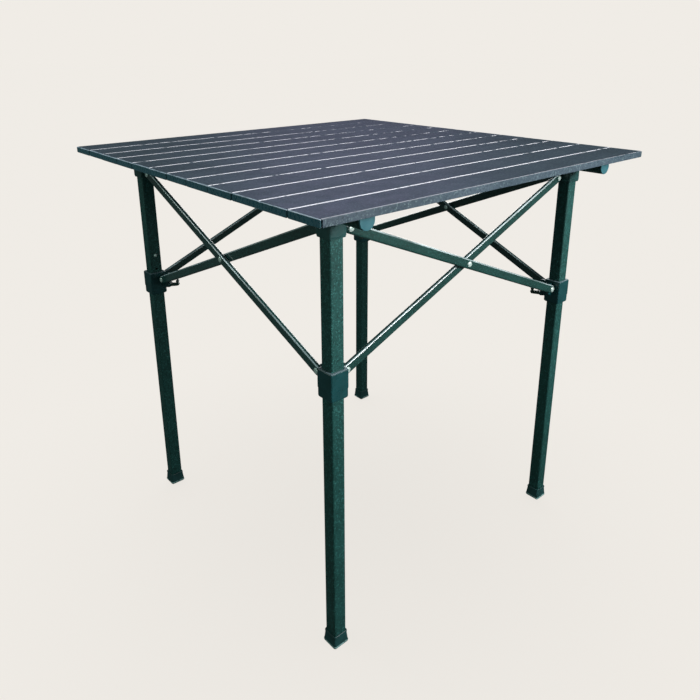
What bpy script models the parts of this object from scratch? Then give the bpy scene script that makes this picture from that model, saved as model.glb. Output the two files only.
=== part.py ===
"""Folding side table: a roll-up top of slats on a four-legged scissor frame.

Metres, +Z up.  The origin is on the floor under the middle of the table.  The slats run along X,
the two rails under them run along Y, and the frame is the same on all four sides: every corner and
every side is the front-left corner and the front side turned by quarter turns about Z.
"""
import math

import bmesh
import bpy
from mathutils import Matrix, Vector

# Table
HEIGHT = 0.700
TOP_SIZE = 0.700
LEG_SPACING = 0.530

# Slats: inverted channels with turned-in lips
SLAT_COUNT = 12
SLAT_GAP = 0.0006
SLAT_THICK = 0.0100
SLAT_WALL = 0.0013
SLAT_LIP = 0.0080

# Rails: half-round tubes, flat side up
RAIL_WIDTH = 0.0240
RAIL_HEIGHT = 0.0215
RAIL_WALL = 0.0015
RAIL_SETBACK = 0.0185
RAIL_CAP_THICK = 0.0030
RAIL_PLUG = 0.0080

# Legs: square tubes
LEG_SIZE = 0.0220
LEG_WALL = 0.0012
LEG_ROUND = 0.0022
LEG_BOTTOM = 0.0045
LEG_TOP = 0.6625

# Feet and top caps
FOOT_HEIGHT = 0.0220
FOOT_SOLE = 0.0284
FOOT_RIM = 0.0256
FOOT_ROUND = 0.0035
SOCKET_SIZE = 0.0226
CAP_SIZE = 0.0282
CAP_TOP = 0.6675
CAP_BOTTOM = 0.6475

# Sliders
SLIDER_SIZE = 0.0310
SLIDER_BORE = 0.0228
SLIDER_ABOVE = 0.0120
SLIDER_BELOW = 0.0310
EAR_THICK = 0.0040
EAR_RADIUS = 0.0072
EAR_ROOT_DROP = 0.0165

# Cross bars and their pivots
PIVOT_OFFSET = 0.0260
TOP_PIVOT_Z = 0.6550
SLIDER_PIVOT_Z = 0.4550
BAR_WIDTH = 0.0150
BAR_THICK = 0.0070
BAR_GAP = 0.0010
PIN_RADIUS = 0.0022
HOLE_RADIUS = 0.0025
HEAD_RADIUS = 0.0040
HEAD_THICK = 0.0015

# Release levers, on the inner corner of each slider
LEVER_REACH = 0.0275
LEVER_DROP = 0.0145
LEVER_LENGTH = 0.0185
LEVER_WIDTH = 0.0070
LEVER_HUB = 0.0038
LEVER_THICK = 0.0052
KNOB_HEIGHT = 0.0120
KNOB_WIDTH = 0.0060
AXLE_RADIUS = 0.0013
AXLE_HOLE = 0.0017
CHEEK_THICK = 0.0020

# Stop rivets and latch holes in the legs
STOP_Z = 0.5000
LATCH_HOLE_Z = 0.4735
STOP_PIN_RADIUS = 0.0014
STOP_HOLE_RADIUS = 0.0018
STOP_HEAD_RADIUS = 0.0030

CLEARANCE = 0.0004
SEAT_GAP = 0.0003
ROUND_SEGMENTS = 12
CORNER_STEPS = 2
SHARP_ANGLE = math.radians(35)

CORNERS = ("front_left", "front_right", "rear_right", "rear_left")
SIDES = ("front", "right", "rear", "left")

HALF_SPACING = LEG_SPACING / 2
SLAT_PITCH = TOP_SIZE / SLAT_COUNT
BAR_SPAN = LEG_SPACING - 2 * PIVOT_OFFSET
BAR_LENGTH = math.hypot(BAR_SPAN, TOP_PIVOT_Z - SLIDER_PIVOT_Z)
BAR_TILT = math.atan2(TOP_PIVOT_Z - SLIDER_PIVOT_Z, BAR_SPAN)

# Mid-planes of a side's bars and of the ears behind them, measured inwards from the legs' mid-plane
OUTER_BAR_PLANE = -0.0042
INNER_BAR_PLANE = OUTER_BAR_PLANE + BAR_THICK + BAR_GAP
OUTER_EAR_PLANE = OUTER_BAR_PLANE + BAR_THICK / 2 + CLEARANCE + EAR_THICK / 2
INNER_EAR_PLANE = INNER_BAR_PLANE + BAR_THICK / 2 + CLEARANCE + EAR_THICK / 2
LEVER_Z = SLIDER_PIVOT_Z - LEVER_DROP

# Maps for outlines: drawn in X and Y and pushed along Z, they end up in another plane
AS_DRAWN = Matrix.Identity(4)
UPRIGHT_ALONG_Y = Matrix(((1, 0, 0, 0), (0, 0, 1, 0), (0, 1, 0, 0), (0, 0, 0, 1)))
UPRIGHT_ALONG_X = Matrix(((0, 0, 1, 0), (1, 0, 0, 0), (0, 1, 0, 0), (0, 0, 0, 1)))

COLOURS = {
    "slat_metal": ((0.055, 0.060, 0.085), 0.38, 0.6),
    "rail_metal": ((0.012, 0.060, 0.050), 0.50, 0.3),
    "leg_metal": ((0.014, 0.085, 0.075), 0.50, 0.3),
    "bar_metal": ((0.012, 0.075, 0.062), 0.40, 0.3),
    "moulded_plastic": ((0.018, 0.075, 0.080), 0.45, 0.0),
    "zinc": ((0.750, 0.800, 0.780), 0.28, 1.0),
}


def make_material(name):
    """Principled material with one of the part's colours."""
    colour, roughness, metallic = COLOURS[name]
    material = bpy.data.materials.new(name)
    material.use_nodes = True
    shader = material.node_tree.nodes["Principled BSDF"]
    shader.inputs["Base Color"].default_value = (*colour, 1.0)
    shader.inputs["Roughness"].default_value = roughness
    shader.inputs["Metallic"].default_value = metallic
    return material


def loft(name, rings, closed=False, turn=AS_DRAWN):
    """Closed mesh through rings of equal point count; a closed loft joins its last ring to its first."""
    shape = bmesh.new()
    loops = [[shape.verts.new(turn @ Vector(point)) for point in ring] for ring in rings]
    count = len(loops[0])
    pairs = list(zip(loops, loops[1:]))
    if closed:
        pairs.append((loops[-1], loops[0]))
    else:
        shape.faces.new(loops[0])
        shape.faces.new(loops[-1])
    for lower, upper in pairs:
        for i in range(count):
            j = (i + 1) % count
            shape.faces.new((lower[i], lower[j], upper[j], upper[i]))
    bmesh.ops.recalc_face_normals(shape, faces=shape.faces)
    mesh = bpy.data.meshes.new(name)
    shape.to_mesh(mesh)
    shape.free()
    return mesh


def prism(name, outline, start, end, turn=AS_DRAWN):
    """Outline in X and Y pushed along Z from start to end, then turned by a matrix."""
    return loft(name, [level(outline, start), level(outline, end)], turn=turn)


def arc(centre, radius, first, last, steps):
    """Points on a circle from the first angle to the last, in degrees."""
    angles = [math.radians(first + (last - first) * i / steps) for i in range(steps + 1)]
    return [(centre[0] + radius * math.cos(a), centre[1] + radius * math.sin(a)) for a in angles]


def rounded_square(size, radius):
    """Square outline about the origin with rounded corners."""
    inner = size / 2 - radius
    points = []
    for quarter, (side_x, side_y) in enumerate(((1, 1), (-1, 1), (-1, -1), (1, -1))):
        points += arc((side_x * inner, side_y * inner), radius, 90 * quarter, 90 * quarter + 90, CORNER_STEPS)
    return points


def half_round(width, height):
    """Rail outline: flat on top at y = 0, round below."""
    radius = width / 2
    return [(radius, 0.0)] + arc((0.0, radius - height), radius, 0, -180, 10) + [(-radius, 0.0)]


def level(outline, z):
    """Outline in X and Y placed at a height."""
    return [(x, y, z) for x, y in outline]


def turned(name, profile, turn=AS_DRAWN):
    """Solid of revolution about Z from (radius, height) pairs."""
    circle = arc((0.0, 0.0), 1.0, 0, 360, ROUND_SEGMENTS)[:-1]
    return loft(name, [[(r * x, r * y, z) for x, y in circle] for r, z in profile], turn=turn)


def rod(radius, start, end, turn):
    """Plain round rod for a pin or for drilling a hole."""
    return turned("rod", ((radius, start), (radius, end)), turn)


def carve(name, base, add=(), cut=()):
    """One closed mesh: the base with some shapes joined on and others cut away."""
    link = bpy.context.scene.collection.objects.link
    body = bpy.data.objects.new(name, base)
    link(body)
    tools = []
    for operation, meshes in (("UNION", add), ("DIFFERENCE", cut)):
        for mesh in meshes:
            tool = bpy.data.objects.new("tool", mesh)
            link(tool)
            tools.append(tool)
            step = body.modifiers.new("step", "BOOLEAN")
            step.operation = operation
            step.solver = "EXACT"
            step.object = tool
    graph = bpy.context.evaluated_depsgraph_get()
    mesh = bpy.data.meshes.new_from_object(body.evaluated_get(graph))
    mesh.name = name
    for used in [body] + tools:
        bpy.data.objects.remove(used)
    return mesh


def slat_mesh():
    """Channel section running along X; its hinge edge is at y = 0 and its top at z = 0."""
    near = -SLAT_GAP / 2
    far = near - (SLAT_PITCH - SLAT_GAP)
    under = -SLAT_THICK
    outline = [
        (near, 0.0), (near, under), (near - SLAT_LIP, under), (near - SLAT_LIP, under + SLAT_WALL),
        (near - SLAT_WALL, under + SLAT_WALL), (near - SLAT_WALL, -SLAT_WALL),
        (far + SLAT_WALL, -SLAT_WALL), (far + SLAT_WALL, under + SLAT_WALL),
        (far + SLAT_LIP, under + SLAT_WALL), (far + SLAT_LIP, under), (far, under), (far, 0.0),
    ]
    return prism("slat", outline, -TOP_SIZE / 2, TOP_SIZE / 2, UPRIGHT_ALONG_X)


def outer_slat_mesh(rear):
    """Edge slat, as wide as the others plus half a gap, so that the top has its full size."""
    mesh = slat_mesh()
    edge = -SLAT_GAP / 2 if rear else SLAT_GAP / 2 - SLAT_PITCH
    shift = SLAT_GAP / 2 if rear else -SLAT_GAP / 2
    for vertex in mesh.vertices:
        if abs(vertex.co.y - edge) < SLAT_GAP / 4:
            vertex.co.y += shift
    return mesh


def rail_mesh():
    """Half-round tube along Y, with its flat top at z = 0."""
    half = TOP_SIZE / 2 - RAIL_SETBACK - RAIL_CAP_THICK - SEAT_GAP
    outer = half_round(RAIL_WIDTH, RAIL_HEIGHT)
    bore = half_round(RAIL_WIDTH - 2 * RAIL_WALL, RAIL_HEIGHT - 2 * RAIL_WALL)
    inner = [(x, z - RAIL_WALL) for x, z in bore]
    rings = []
    for outline, y in ((outer, -half), (outer, half), (inner, half), (inner, -half)):
        rings.append([(x, y, z) for x, z in outline])
    return loft("rail", rings, closed=True)


def rail_cap_mesh():
    """End cap: a half-round flange at -Y and a plug that goes into the rail towards +Y."""
    play = RAIL_WALL + CLEARANCE
    outer = half_round(RAIL_WIDTH, RAIL_HEIGHT)
    plug = [(x, z - play) for x, z in half_round(RAIL_WIDTH - 2 * play, RAIL_HEIGHT - 2 * play)]
    back = RAIL_CAP_THICK
    rings = []
    for outline, y in ((outer, 0.0), (outer, back), (plug, back), (plug, back + RAIL_PLUG)):
        rings.append([(x, y, z) for x, z in outline])
    return loft("rail_cap", rings)


def leg_mesh():
    """Square tube with a rivet hole and a latch hole in its wall at +X."""
    outer = rounded_square(LEG_SIZE, LEG_ROUND)
    inner = rounded_square(LEG_SIZE - 2 * LEG_WALL, LEG_ROUND - LEG_WALL)
    rings = [level(outer, LEG_BOTTOM), level(outer, LEG_TOP), level(inner, LEG_TOP), level(inner, LEG_BOTTOM)]
    tube = loft("leg", rings, closed=True)
    holes = []
    for z in (STOP_Z, LATCH_HOLE_Z):
        place = Matrix.Translation((0, 0, z)) @ UPRIGHT_ALONG_X
        holes.append(rod(STOP_HOLE_RADIUS, LEG_SIZE / 4, LEG_SIZE, place))
    return carve("leg", tube, cut=holes)


def foot_mesh():
    """Boot that widens to its sole, with a socket for the leg."""
    sole = rounded_square(FOOT_SOLE, FOOT_ROUND)
    rim = rounded_square(FOOT_RIM, FOOT_ROUND)
    socket = rounded_square(SOCKET_SIZE, LEG_ROUND)
    rings = [
        level(rounded_square(FOOT_SOLE - 0.003, FOOT_ROUND), 0.0),
        level(sole, 0.0015),
        level(sole, 0.0045),
        level(rim, FOOT_HEIGHT),
        level(socket, FOOT_HEIGHT),
        level(socket, LEG_BOTTOM - SEAT_GAP),
    ]
    return loft("foot", rings)


def ear_with_pin(root, top, bottom, side, plane):
    """Flat lug at a mid-plane, along +X or +Y, and the headed pin that carries a bar on its outward face."""
    outline = [(root, top)] + arc((PIVOT_OFFSET, 0.0), EAR_RADIUS, 90, -60, 8) + [(root, bottom)]
    turn = UPRIGHT_ALONG_Y if side == "x" else UPRIGHT_ALONG_X
    lug = prism("ear", outline, plane - EAR_THICK / 2, plane + EAR_THICK / 2, turn)
    reach = plane - EAR_THICK / 2 - 2 * CLEARANCE - BAR_THICK
    tip = reach - HEAD_THICK
    profile = ((PIN_RADIUS, plane), (PIN_RADIUS, reach), (HEAD_RADIUS, reach), (HEAD_RADIUS, tip))
    place = Matrix.Translation((PIVOT_OFFSET, 0, 0) if side == "x" else (0, PIVOT_OFFSET, 0))
    return [lug, turned("pin", profile, place @ turn)]


def cap_mesh():
    """Cap on the leg's top, with its ears; z = 0 is the height of the top pivots."""
    outer = rounded_square(CAP_SIZE, LEG_ROUND)
    socket = rounded_square(SOCKET_SIZE, LEG_ROUND)
    crown = rounded_square(CAP_SIZE - 0.0016, LEG_ROUND)
    rings = [
        level(crown, CAP_TOP - TOP_PIVOT_Z),
        level(outer, CAP_TOP - TOP_PIVOT_Z - 0.0008),
        level(outer, CAP_BOTTOM - TOP_PIVOT_Z),
        level(socket, CAP_BOTTOM - TOP_PIVOT_Z),
        level(socket, LEG_TOP + SEAT_GAP - TOP_PIVOT_Z),
    ]
    root = CAP_SIZE / 2 - 0.001
    ears = ear_with_pin(root, EAR_RADIUS, -0.0068, "x", OUTER_EAR_PLANE)
    ears += ear_with_pin(root, EAR_RADIUS, -0.0068, "y", INNER_EAR_PLANE)
    return carve("cap", loft("cap", rings), add=ears)


def slider_mesh():
    """Sleeve that runs on the leg, with two ears and the lever's bracket; z = 0 is its pivot height."""
    outer = rounded_square(SLIDER_SIZE, LEG_ROUND)
    edge = rounded_square(SLIDER_SIZE - 0.0016, LEG_ROUND)
    bore = rounded_square(SLIDER_BORE, LEG_ROUND)
    rings = [
        level(edge, -SLIDER_BELOW),
        level(outer, 0.0008 - SLIDER_BELOW),
        level(outer, SLIDER_ABOVE - 0.0008),
        level(edge, SLIDER_ABOVE),
        level(bore, SLIDER_ABOVE),
        level(bore, -SLIDER_BELOW),
    ]
    root = SLIDER_SIZE / 2 - 0.001
    ears = ear_with_pin(root, EAR_RADIUS, -EAR_ROOT_DROP, "x", INNER_EAR_PLANE)
    ears += ear_with_pin(root, EAR_RADIUS, -EAR_ROOT_DROP, "y", OUTER_EAR_PLANE)
    return carve("slider", loft("slider", rings, closed=True), add=ears + lever_bracket())


def lever_bracket():
    """Two cheeks on the sleeve's inner corner and the axle between them."""
    diagonal = Matrix.Rotation(math.radians(45), 4, "Z")
    upright = diagonal @ UPRIGHT_ALONG_Y
    lateral = LEVER_WIDTH / 2 + CLEARANCE
    near = SLIDER_SIZE / 2 * math.sqrt(2) - lateral - CHEEK_THICK - 0.001
    outline = [(near, -0.0190), (near, -0.0085)] + arc((LEVER_REACH, -LEVER_DROP), 0.0042, 80, -80, 6)
    pieces = []
    for sign in (-1, 1):
        pieces.append(prism("cheek", outline, sign * lateral, sign * (lateral + CHEEK_THICK), upright))
    reach = Matrix.Translation((LEVER_REACH, 0, -LEVER_DROP))
    half = lateral + CHEEK_THICK / 2
    pieces.append(rod(AXLE_RADIUS, -half, half, diagonal @ reach @ UPRIGHT_ALONG_Y))
    return pieces


def lever_mesh():
    """Lever along +X from its axle, with an upturned knob at its tip."""
    half = LEVER_THICK / 2
    tip = LEVER_LENGTH
    knob_root = tip - KNOB_WIDTH
    crown = KNOB_HEIGHT - half
    outline = (
        arc((0.0, 0.0), LEVER_HUB, 40, 300, 8)
        + [(tip - 0.0015, -half + 0.0010), (tip, -half + 0.0025), (tip - 0.0012, half + 0.0015)]
        + arc((tip - KNOB_WIDTH / 2, crown - 0.0022), 0.0026, -30, 210, 7)
        + [(knob_root + 0.0012, half + 0.0020), (knob_root - 0.0010, half + 0.0006)]
    )
    bar = prism("lever", outline, -LEVER_WIDTH / 2, LEVER_WIDTH / 2, UPRIGHT_ALONG_Y)
    return carve("lever", bar, cut=[rod(AXLE_HOLE, -LEVER_WIDTH, LEVER_WIDTH, UPRIGHT_ALONG_Y)])


def bar_mesh(start):
    """Cross bar along X with round ends and three holes, its first hole at the given place."""
    end = start + BAR_LENGTH
    radius = BAR_WIDTH / 2
    outline = arc((end, 0.0), radius, -90, 90, 8) + arc((start, 0.0), radius, 90, 270, 8)
    flat = prism("bar", outline, -BAR_THICK / 2, BAR_THICK / 2, UPRIGHT_ALONG_Y)
    holes = []
    for x in (start, (start + end) / 2, end):
        place = Matrix.Translation((x, 0, 0)) @ UPRIGHT_ALONG_Y
        holes.append(rod(HOLE_RADIUS, -BAR_THICK, BAR_THICK, place))
    return carve("bar", flat, cut=holes)


def cross_rivet_mesh():
    """Rivet through both bars of a side, with a head at each end."""
    reach = BAR_GAP / 2 + BAR_THICK + CLEARANCE
    half = [(PIN_RADIUS, reach), (HEAD_RADIUS, reach), (HEAD_RADIUS - 0.0008, reach + HEAD_THICK)]
    profile = [(radius, -z) for radius, z in reversed(half)] + half
    return turned("cross_rivet", profile, UPRIGHT_ALONG_Y)


def stop_rivet_mesh():
    """Rivet in the leg's wall, with its domed head pointing to +X."""
    face = LEG_SIZE / 2 + SEAT_GAP
    profile = [
        (STOP_PIN_RADIUS, LEG_SIZE / 2 - LEG_WALL - 0.0012),
        (STOP_PIN_RADIUS, face),
        (STOP_HEAD_RADIUS, face),
        (STOP_HEAD_RADIUS * 0.8, face + 0.0009),
        (STOP_HEAD_RADIUS * 0.3, face + 0.0014),
    ]
    return turned("stop_rivet", profile, UPRIGHT_ALONG_X)


def quarter_turn(index):
    """Rotation from the front-left corner to the corner or side of this index."""
    return Matrix.Rotation(math.radians(90 * index), 4, "Z")


def add_pivot(name, place, index):
    """Empty on a joint's axis; the place is given at the front-left corner."""
    empty = bpy.data.objects.new(name, None)
    empty.location = quarter_turn(index) @ Vector(place)
    empty.rotation_euler = (0, 0, math.radians(90 * index))
    bpy.context.scene.collection.objects.link(empty)
    return empty


def add_part(name, mesh, material, place, rotation=(0, 0, 0), parent=None):
    """Named object with its own copy of the mesh, placed in its parent's frame."""
    part = bpy.data.objects.new(name, mesh.copy())
    part.data.name = name
    part.data.materials.clear()
    part.data.materials.append(material)
    part.data.shade_smooth()
    part.data.set_sharp_from_angle(angle=SHARP_ANGLE)
    part.location = place
    part.rotation_euler = rotation
    part.parent = parent
    bpy.context.scene.collection.objects.link(part)
    return part


def build_top(materials):
    """Slats hinged edge to edge from the rear to the front, over the two rails and their end caps."""
    slat = slat_mesh()
    for i in range(SLAT_COUNT):
        mesh = slat
        if i in (0, SLAT_COUNT - 1):
            mesh = outer_slat_mesh(rear=(i == 0))
        hinge_y = TOP_SIZE / 2 - i * SLAT_PITCH
        add_part(f"slat_{i + 1:02d}", mesh, materials["slat_metal"], (0, hinge_y, HEIGHT))
    rail_top = HEIGHT - SLAT_THICK - SEAT_GAP
    cap_y = TOP_SIZE / 2 - RAIL_SETBACK
    rail = rail_mesh()
    cap = rail_cap_mesh()
    for side, x in (("left", -HALF_SPACING), ("right", HALF_SPACING)):
        add_part(f"rail_{side}", rail, materials["rail_metal"], (x, 0, rail_top))
        for end, y, turn in (("front", -cap_y, 0), ("rear", cap_y, math.pi)):
            name = f"rail_cap_{side}_{end}"
            add_part(name, cap, materials["moulded_plastic"], (x, y, rail_top), (0, 0, turn))


def build_corner(index, meshes, materials):
    """Leg with its foot, cap and stop rivet, and the slider with its lever."""
    corner = CORNERS[index]
    leg = Vector((-HALF_SPACING, -HALF_SPACING, 0))
    on_front_ear = index in (0, 3)
    ear_offset = Vector((PIVOT_OFFSET, 0, 0)) if on_front_ear else Vector((0, PIVOT_OFFSET, 0))

    top = leg + ear_offset + Vector((0, 0, TOP_PIVOT_Z))
    leg_pivot = add_pivot(f"leg_pivot_{corner}", top, index)
    plastic = materials["moulded_plastic"]
    add_part(f"leg_{corner}", meshes["leg"], materials["leg_metal"], leg - top, parent=leg_pivot)
    add_part(f"foot_{corner}", meshes["foot"], plastic, leg - top, parent=leg_pivot)
    add_part(f"leg_cap_{corner}", meshes["cap"], plastic, -ear_offset, parent=leg_pivot)
    stop = leg + Vector((0, 0, STOP_Z)) - top
    add_part(f"stop_rivet_{corner}", meshes["stop"], materials["zinc"], stop, parent=leg_pivot)

    middle = leg + ear_offset + Vector((0, 0, SLIDER_PIVOT_Z))
    slider_pivot = add_pivot(f"slider_pivot_{corner}", middle, index)
    add_part(f"slider_{corner}", meshes["slider"], plastic, -ear_offset, parent=slider_pivot)
    inward = LEVER_REACH / math.sqrt(2)
    axle = leg + Vector((inward, inward, LEVER_Z)) - middle
    lever_turn = (0, 0, math.radians(45))
    add_part(f"release_lever_{corner}", meshes["lever"], plastic, axle, lever_turn, slider_pivot)


def build_side(index, meshes, materials):
    """The two crossed bars of a side and the rivet between them."""
    side = SIDES[index]
    quarter = math.radians(90 * index)
    turn = quarter_turn(index)
    middle_z = (TOP_PIVOT_Z + SLIDER_PIVOT_Z) / 2
    outer_y = -HALF_SPACING + OUTER_BAR_PLANE
    inner_y = -HALF_SPACING + INNER_BAR_PLANE
    top_x = HALF_SPACING - PIVOT_OFFSET
    if index in (0, 1):
        outer = (meshes["bar_from_top"], (-top_x, outer_y, TOP_PIVOT_Z))
        inner = (meshes["bar_from_middle"], (0, inner_y, middle_z))
    else:
        outer = (meshes["bar_from_middle"], (0, outer_y, middle_z))
        inner = (meshes["bar_to_top"], (top_x, inner_y, TOP_PIVOT_Z))
    for layer, (mesh, place), tilt in (("outer", outer, BAR_TILT), ("inner", inner, -BAR_TILT)):
        name = f"{side}_{layer}_bar"
        add_part(name, mesh, materials["bar_metal"], turn @ Vector(place), (0, tilt, quarter))
    rivet_place = turn @ Vector((0, (outer_y + inner_y) / 2, middle_z))
    add_part(f"{side}_cross_rivet", meshes["rivet"], materials["zinc"], rivet_place, (0, 0, quarter))


def main():
    for old in list(bpy.data.objects):
        bpy.data.objects.remove(old)
    materials = {name: make_material(name) for name in COLOURS}
    meshes = {
        "leg": leg_mesh(),
        "foot": foot_mesh(),
        "cap": cap_mesh(),
        "stop": stop_rivet_mesh(),
        "slider": slider_mesh(),
        "lever": lever_mesh(),
        "bar_from_top": bar_mesh(0.0),
        "bar_from_middle": bar_mesh(-BAR_LENGTH / 2),
        "bar_to_top": bar_mesh(-BAR_LENGTH),
        "rivet": cross_rivet_mesh(),
    }
    build_top(materials)
    for index in range(len(CORNERS)):
        build_corner(index, meshes, materials)
        build_side(index, meshes, materials)


main()
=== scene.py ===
"""Looks of the folding side table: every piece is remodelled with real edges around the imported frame."""

import math

import bmesh
import bpy
from mathutils import Matrix, Vector


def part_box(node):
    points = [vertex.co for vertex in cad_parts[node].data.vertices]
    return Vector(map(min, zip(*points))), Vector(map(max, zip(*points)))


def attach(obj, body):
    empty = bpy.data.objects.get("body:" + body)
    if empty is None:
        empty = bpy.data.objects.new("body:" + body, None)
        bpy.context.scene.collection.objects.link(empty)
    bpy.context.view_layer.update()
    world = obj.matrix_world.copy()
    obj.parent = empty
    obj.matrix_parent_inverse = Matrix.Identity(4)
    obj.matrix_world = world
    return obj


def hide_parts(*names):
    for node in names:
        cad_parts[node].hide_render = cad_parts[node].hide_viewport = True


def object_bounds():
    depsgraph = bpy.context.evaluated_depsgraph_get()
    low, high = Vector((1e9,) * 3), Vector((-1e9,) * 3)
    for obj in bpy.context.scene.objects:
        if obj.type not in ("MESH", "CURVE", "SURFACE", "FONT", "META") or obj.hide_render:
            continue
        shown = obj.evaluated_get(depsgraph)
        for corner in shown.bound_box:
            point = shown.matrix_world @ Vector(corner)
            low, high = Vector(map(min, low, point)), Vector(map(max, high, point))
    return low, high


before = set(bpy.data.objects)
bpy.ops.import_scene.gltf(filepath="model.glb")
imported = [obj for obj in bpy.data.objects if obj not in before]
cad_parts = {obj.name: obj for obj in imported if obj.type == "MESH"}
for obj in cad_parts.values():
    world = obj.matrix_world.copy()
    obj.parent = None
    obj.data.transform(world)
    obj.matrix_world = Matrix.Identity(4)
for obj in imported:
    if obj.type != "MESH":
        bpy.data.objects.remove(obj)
cad_low, cad_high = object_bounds()

CORNERS = ("front_left", "front_right", "rear_right", "rear_left")
SIDES = ("front", "right", "rear", "left")
SLAT_COUNT = 12
MM = 0.001

# ---------------------------------------------------------------- camera

# Fitted to the corners of the top and the feet, with the shift kept small
CAMERA_PLACE = Vector((-0.7628, -0.8732, 0.8720))
CAMERA_AZIMUTH = math.radians(-40.984)
CAMERA_ELEVATION = math.radians(18.501)
CAMERA_ROLL = math.radians(-0.155)
CAMERA_LENS = 33.99
CAMERA_SHIFT_Y = -0.12


def add_camera():
    """Camera above the near corner, looking down at the table."""
    level_part = math.cos(CAMERA_ELEVATION)
    back_x = math.sin(CAMERA_AZIMUTH) * level_part
    back_y = -math.cos(CAMERA_AZIMUTH) * level_part
    back = Vector((back_x, back_y, math.sin(CAMERA_ELEVATION)))
    data = bpy.data.cameras.new("camera")
    data.sensor_width = 36.0
    data.lens = CAMERA_LENS
    data.shift_y = CAMERA_SHIFT_Y
    camera = bpy.data.objects.new("camera", data)
    turn = (-back).to_track_quat("-Z", "Y").to_matrix() @ Matrix.Rotation(CAMERA_ROLL, 3, "Z")
    camera.matrix_world = Matrix.Translation(CAMERA_PLACE) @ turn.to_4x4()
    bpy.context.scene.collection.objects.link(camera)
    bpy.context.scene.camera = camera


# ---------------------------------------------------------------- mesh tools

AS_DRAWN = Matrix.Identity(4)
UPRIGHT_ALONG_Y = Matrix(((1, 0, 0, 0), (0, 0, 1, 0), (0, 1, 0, 0), (0, 0, 0, 1)))
UPRIGHT_ALONG_X = Matrix(((0, 0, 1, 0), (1, 0, 0, 0), (0, 1, 0, 0), (0, 0, 0, 1)))


def loft(rings, closed=False, turn=AS_DRAWN):
    """Closed mesh through rings of equal point count; a closed loft joins its last ring to its first."""
    shape = bmesh.new()
    loops = [[shape.verts.new(turn @ Vector(point)) for point in ring] for ring in rings]
    count = len(loops[0])
    pairs = list(zip(loops, loops[1:]))
    if closed:
        pairs.append((loops[-1], loops[0]))
    else:
        shape.faces.new(loops[0])
        shape.faces.new(loops[-1])
    for lower, upper in pairs:
        for i in range(count):
            j = (i + 1) % count
            shape.faces.new((lower[i], lower[j], upper[j], upper[i]))
    bmesh.ops.recalc_face_normals(shape, faces=shape.faces)
    mesh = bpy.data.meshes.new("shell")
    shape.to_mesh(mesh)
    shape.free()
    return mesh


def level(outline, z):
    """Outline in X and Y placed at a height."""
    return [(x, y, z) for x, y in outline]


def prism(outline, start, end, turn=AS_DRAWN):
    """Outline pushed from start to end along its normal, then turned."""
    return loft([level(outline, start), level(outline, end)], turn=turn)


def arc(centre, radius, first, last, steps):
    """Points on a circle from the first angle to the last, in degrees."""
    angles = [math.radians(first + (last - first) * i / steps) for i in range(steps + 1)]
    return [(centre[0] + radius * math.cos(a), centre[1] + radius * math.sin(a)) for a in angles]


def rounded_box(half_x, half_y, radius, steps=5):
    """Rectangle outline about the origin with rounded corners."""
    points = []
    for quarter, (side_x, side_y) in enumerate(((1, 1), (-1, 1), (-1, -1), (1, -1))):
        centre = (side_x * (half_x - radius), side_y * (half_y - radius))
        points += arc(centre, radius, 90 * quarter, 90 * quarter + 90, steps)
    return points


def turned(profile, turn=AS_DRAWN, segments=28):
    """Solid of revolution about Z from (radius, height) pairs."""
    circle = arc((0.0, 0.0), 1.0, 0, 360, segments)[:-1]
    return loft([[(r * x, r * y, z) for x, y in circle] for r, z in profile], turn=turn)


def evaluated(mesh, prepare):
    """The mesh after the modifiers that prepare() puts on a carrier object."""
    carrier = bpy.data.objects.new("carrier", mesh)
    bpy.context.scene.collection.objects.link(carrier)
    helpers = prepare(carrier) or []
    graph = bpy.context.evaluated_depsgraph_get()
    final = carrier.evaluated_get(graph)
    result = bpy.data.meshes.new_from_object(final, preserve_all_data_layers=True, depsgraph=graph)
    for used in [carrier] + helpers:
        bpy.data.objects.remove(used)
    return result


def drilled(mesh, drills):
    """The mesh with holes cut by the drill meshes."""
    def prepare(carrier):
        helpers = []
        for drill in drills:
            tool = bpy.data.objects.new("drill", drill)
            bpy.context.scene.collection.objects.link(tool)
            cut = carrier.modifiers.new("cut", "BOOLEAN")
            cut.operation = "DIFFERENCE"
            cut.solver = "EXACT"
            cut.object = tool
            helpers.append(tool)
        return helpers
    return evaluated(mesh, prepare)


def softened(mesh, width, segments=3, angle=35):
    """The mesh with its sharp edges rounded."""
    def prepare(carrier):
        carrier.data.shade_smooth()
        bevel = carrier.modifiers.new("bevel", "BEVEL")
        bevel.width = width
        bevel.segments = segments
        bevel.limit_method = "ANGLE"
        bevel.angle_limit = math.radians(angle)
        bevel.use_clamp_overlap = True
        even = carrier.modifiers.new("even", "WEIGHTED_NORMAL")
        even.keep_sharp = True
    return evaluated(mesh, prepare)


def joined(meshes):
    """Several meshes as one."""
    whole = bmesh.new()
    for mesh in meshes:
        whole.from_mesh(mesh)
    result = bpy.data.meshes.new("joined")
    whole.to_mesh(result)
    whole.free()
    result.shade_smooth()
    return result


def add_piece(name, mesh, place, material, body, replaced=()):
    """Piece with its shape in its mesh, riding on a body."""
    data = mesh.copy()
    data.transform(place)
    data.materials.clear()
    data.materials.append(material)
    piece = bpy.data.objects.new(name, data)
    bpy.context.scene.collection.objects.link(piece)
    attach(piece, body)
    if replaced:
        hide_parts(*replaced)


# ---------------------------------------------------------------- materials


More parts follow.
